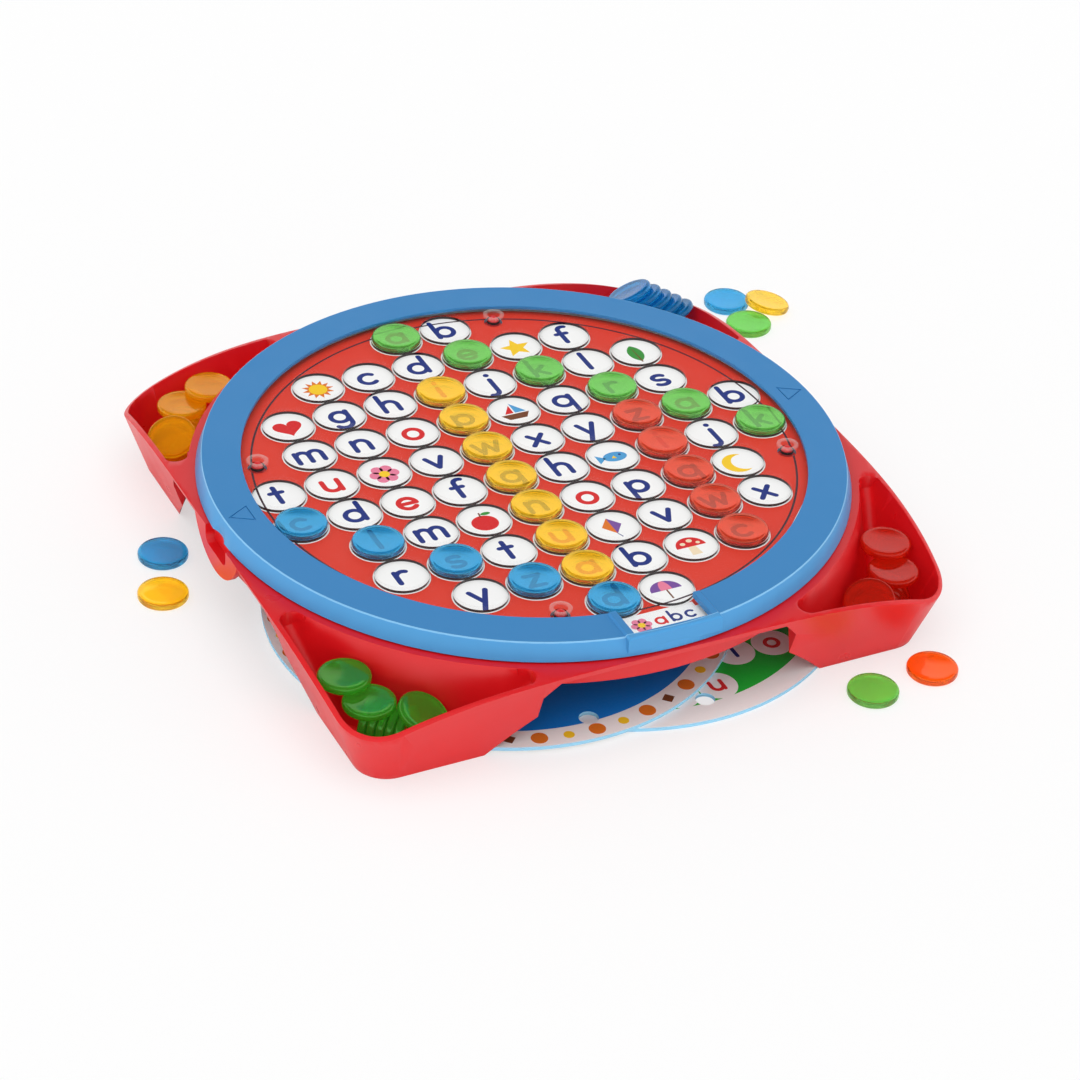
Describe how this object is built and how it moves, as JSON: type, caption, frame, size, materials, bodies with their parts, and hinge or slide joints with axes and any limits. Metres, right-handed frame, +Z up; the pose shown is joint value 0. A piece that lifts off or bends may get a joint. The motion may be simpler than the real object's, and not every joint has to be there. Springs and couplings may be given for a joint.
{
  "type": "word search board game",
  "caption": "Square game board on tray feet with a turning ring, a clear grid of holes over a printed letter disc, clear counters and spare discs.",
  "frame": {"origin": "on the table, under the turning axis of the ring", "axes": "+Z up, +X along the letter rows to the right, +Y to the back; the ring's window stands at the front"},
  "size_m": [0.3284, 0.2808, 0.0434],
  "materials": {
    "red_base": "satin moulded plastic",
    "puzzle_card": "printed card",
    "clear_grid": "clear moulded plastic",
    "blue_ring": "satin moulded plastic",
    "blue_card": "printed card",
    "green_card": "printed card",
    "blue_counter": "clear tinted plastic",
    "green_counter": "clear tinted plastic",
    "yellow_counter": "clear tinted plastic",
    "red_counter": "clear tinted plastic",
    "orange_counter": "clear tinted plastic"
  },
  "bodies": {
    "board": {"base_tray": "red_base"},
    "puzzle": {"puzzle_disc": "puzzle_card"},
    "grid": {"letter_grid": "clear_grid"},
    "ring": {"turning_ring": "blue_ring"},
    "blue_spare": {"spare_disc_blue": "blue_card"},
    "green_spare": {"spare_disc_green": "green_card"},
    "cell_blue_1": {"grid_counter_blue_1": "blue_counter"},
    "cell_blue_2": {"grid_counter_blue_2": "blue_counter"},
    "cell_blue_3": {"grid_counter_blue_3": "blue_counter"},
    "cell_blue_4": {"grid_counter_blue_4": "blue_counter"},
    "cell_blue_5": {"grid_counter_blue_5": "blue_counter"},
    "cell_green_1": {"grid_counter_green_1": "green_counter"},
    "cell_green_2": {"grid_counter_green_2": "green_counter"},
    "cell_green_3": {"grid_counter_green_3": "green_counter"},
    "cell_green_4": {"grid_counter_green_4": "green_counter"},
    "cell_green_5": {"grid_counter_green_5": "green_counter"},
    "cell_green_6": {"grid_counter_green_6": "green_counter"},
    "cell_red_1": {"grid_counter_red_1": "red_counter"},
    "cell_red_2": {"grid_counter_red_2": "red_counter"},
    "cell_red_3": {"grid_counter_red_3": "red_counter"},
    "cell_red_4": {"grid_counter_red_4": "red_counter"},
    "cell_red_5": {"grid_counter_red_5": "red_counter"},
    "cell_yellow_1": {"grid_counter_yellow_1": "yellow_counter"},
    "cell_yellow_2": {"grid_counter_yellow_2": "yellow_counter"},
    "cell_yellow_3": {"grid_counter_yellow_3": "yellow_counter"},
    "cell_yellow_4": {"grid_counter_yellow_4": "yellow_counter"},
    "cell_yellow_5": {"grid_counter_yellow_5": "yellow_counter"},
    "cell_yellow_6": {"grid_counter_yellow_6": "yellow_counter"},
    "cell_yellow_7": {"grid_counter_yellow_7": "yellow_counter"},
    "heap_blue": {"tray_counters_blue": "blue_counter"},
    "heap_green": {"tray_counters_green": "green_counter"},
    "heap_red": {"tray_counters_red": "red_counter"},
    "heap_yellow": {"tray_counters_yellow": "yellow_counter"},
    "loose_back_blue": {"loose_counter_back_blue": "blue_counter"},
    "loose_back_green": {"loose_counter_back_green": "green_counter"},
    "loose_back_yellow": {"loose_counter_back_yellow": "yellow_counter"},
    "loose_front_green": {"loose_counter_front_green": "green_counter"},
    "loose_front_red": {"loose_counter_front_red": "orange_counter"},
    "loose_left_blue": {"loose_counter_left_blue": "blue_counter"},
    "loose_left_yellow": {"loose_counter_left_yellow": "yellow_counter"}
  },
  "joints": [
    {"name": "puzzle_lift", "type": "slide", "parent": "board", "child": "puzzle", "axis": [0, 0, 1], "range_m": [0, 0.06]},
    {"name": "grid_lift", "type": "slide", "parent": "puzzle", "child": "grid", "axis": [0, 0, 1], "range_m": [0, 0.05]},
    {"name": "ring_turn", "type": "hinge", "parent": "grid", "child": "ring", "pos_m": [0, 0, 0.04], "axis": [0, 0, 1], "continuous": true},
    {"name": "blue_spare_slide", "type": "slide", "parent": "board", "child": "blue_spare", "axis": [0, 1, 0], "range_m": [0, 0.066]},
    {"name": "green_spare_slide", "type": "slide", "parent": "board", "child": "green_spare", "axis": [0, 1, 0], "range_m": [0, 0.074]},
    {"name": "cell_blue_1_lift", "type": "slide", "parent": "puzzle", "child": "cell_blue_1", "axis": [0, 0, 1], "range_m": [0, 0.03]},
    {"name": "cell_blue_2_lift", "type": "slide", "parent": "puzzle", "child": "cell_blue_2", "axis": [0, 0, 1], "range_m": [0, 0.03]},
    {"name": "cell_blue_3_lift", "type": "slide", "parent": "puzzle", "child": "cell_blue_3", "axis": [0, 0, 1], "range_m": [0, 0.03]},
    {"name": "cell_blue_4_lift", "type": "slide", "parent": "puzzle", "child": "cell_blue_4", "axis": [0, 0, 1], "range_m": [0, 0.03]},
    {"name": "cell_blue_5_lift", "type": "slide", "parent": "puzzle", "child": "cell_blue_5", "axis": [0, 0, 1], "range_m": [0, 0.03]},
    {"name": "cell_green_1_lift", "type": "slide", "parent": "puzzle", "child": "cell_green_1", "axis": [0, 0, 1], "range_m": [0, 0.03]},
    {"name": "cell_green_2_lift", "type": "slide", "parent": "puzzle", "child": "cell_green_2", "axis": [0, 0, 1], "range_m": [0, 0.03]},
    {"name": "cell_green_3_lift", "type": "slide", "parent": "puzzle", "child": "cell_green_3", "axis": [0, 0, 1], "range_m": [0, 0.03]},
    {"name": "cell_green_4_lift", "type": "slide", "parent": "puzzle", "child": "cell_green_4", "axis": [0, 0, 1], "range_m": [0, 0.03]},
    {"name": "cell_green_5_lift", "type": "slide", "parent": "puzzle", "child": "cell_green_5", "axis": [0, 0, 1], "range_m": [0, 0.03]},
    {"name": "cell_green_6_lift", "type": "slide", "parent": "puzzle", "child": "cell_green_6", "axis": [0, 0, 1], "range_m": [0, 0.03]},
    {"name": "cell_red_1_lift", "type": "slide", "parent": "puzzle", "child": "cell_red_1", "axis": [0, 0, 1], "range_m": [0, 0.03]},
    {"name": "cell_red_2_lift", "type": "slide", "parent": "puzzle", "child": "cell_red_2", "axis": [0, 0, 1], "range_m": [0, 0.03]},
    {"name": "cell_red_3_lift", "type": "slide", "parent": "puzzle", "child": "cell_red_3", "axis": [0, 0, 1], "range_m": [0, 0.03]},
    {"name": "cell_red_4_lift", "type": "slide", "parent": "puzzle", "child": "cell_red_4", "axis": [0, 0, 1], "range_m": [0, 0.03]},
    {"name": "cell_red_5_lift", "type": "slide", "parent": "puzzle", "child": "cell_red_5", "axis": [0, 0, 1], "range_m": [0, 0.03]},
    {"name": "cell_yellow_1_lift", "type": "slide", "parent": "puzzle", "child": "cell_yellow_1", "axis": [0, 0, 1], "range_m": [0, 0.03]},
    {"name": "cell_yellow_2_lift", "type": "slide", "parent": "puzzle", "child": "cell_yellow_2", "axis": [0, 0, 1], "range_m": [0, 0.03]},
    {"name": "cell_yellow_3_lift", "type": "slide", "parent": "puzzle", "child": "cell_yellow_3", "axis": [0, 0, 1], "range_m": [0, 0.03]},
    {"name": "cell_yellow_4_lift", "type": "slide", "parent": "puzzle", "child": "cell_yellow_4", "axis": [0, 0, 1], "range_m": [0, 0.03]},
    {"name": "cell_yellow_5_lift", "type": "slide", "parent": "puzzle", "child": "cell_yellow_5", "axis": [0, 0, 1], "range_m": [0, 0.03]},
    {"name": "cell_yellow_6_lift", "type": "slide", "parent": "puzzle", "child": "cell_yellow_6", "axis": [0, 0, 1], "range_m": [0, 0.03]},
    {"name": "cell_yellow_7_lift", "type": "slide", "parent": "puzzle", "child": "cell_yellow_7", "axis": [0, 0, 1], "range_m": [0, 0.03]},
    {"name": "heap_blue_lift", "type": "slide", "parent": "board", "child": "heap_blue", "axis": [0, 0, 1], "range_m": [0, 0.05]},
    {"name": "heap_green_lift", "type": "slide", "parent": "board", "child": "heap_green", "axis": [0, 0, 1], "range_m": [0, 0.05]},
    {"name": "heap_red_lift", "type": "slide", "parent": "board", "child": "heap_red", "axis": [0, 0, 1], "range_m": [0, 0.05]},
    {"name": "heap_yellow_lift", "type": "slide", "parent": "board", "child": "heap_yellow", "axis": [0, 0, 1], "range_m": [0, 0.05]},
    {"name": "loose_back_blue_push", "type": "slide", "parent": "board", "child": "loose_back_blue", "axis": [0, 1, 0], "range_m": [0, 0.04]},
    {"name": "loose_back_green_push", "type": "slide", "parent": "board", "child": "loose_back_green", "axis": [0, -1, 0], "range_m": [0, 0.04]},
    {"name": "loose_back_yellow_lift", "type": "slide", "parent": "board", "child": "loose_back_yellow", "axis": [0, 0, 1], "range_m": [0, 0.04]},
    {"name": "loose_front_green_push", "type": "slide", "parent": "board", "child": "loose_front_green", "axis": [0, -1, 0], "range_m": [0, 0.04]},
    {"name": "loose_front_red_push", "type": "slide", "parent": "board", "child": "loose_front_red", "axis": [0, -1, 0], "range_m": [0, 0.04]},
    {"name": "loose_left_blue_push", "type": "slide", "parent": "board", "child": "loose_left_blue", "axis": [-1, 0, 0], "range_m": [0, 0.04]},
    {"name": "loose_left_yellow_push", "type": "slide", "parent": "board", "child": "loose_left_yellow", "axis": [-1, 0, 0], "range_m": [0, 0.04]}
  ]
}
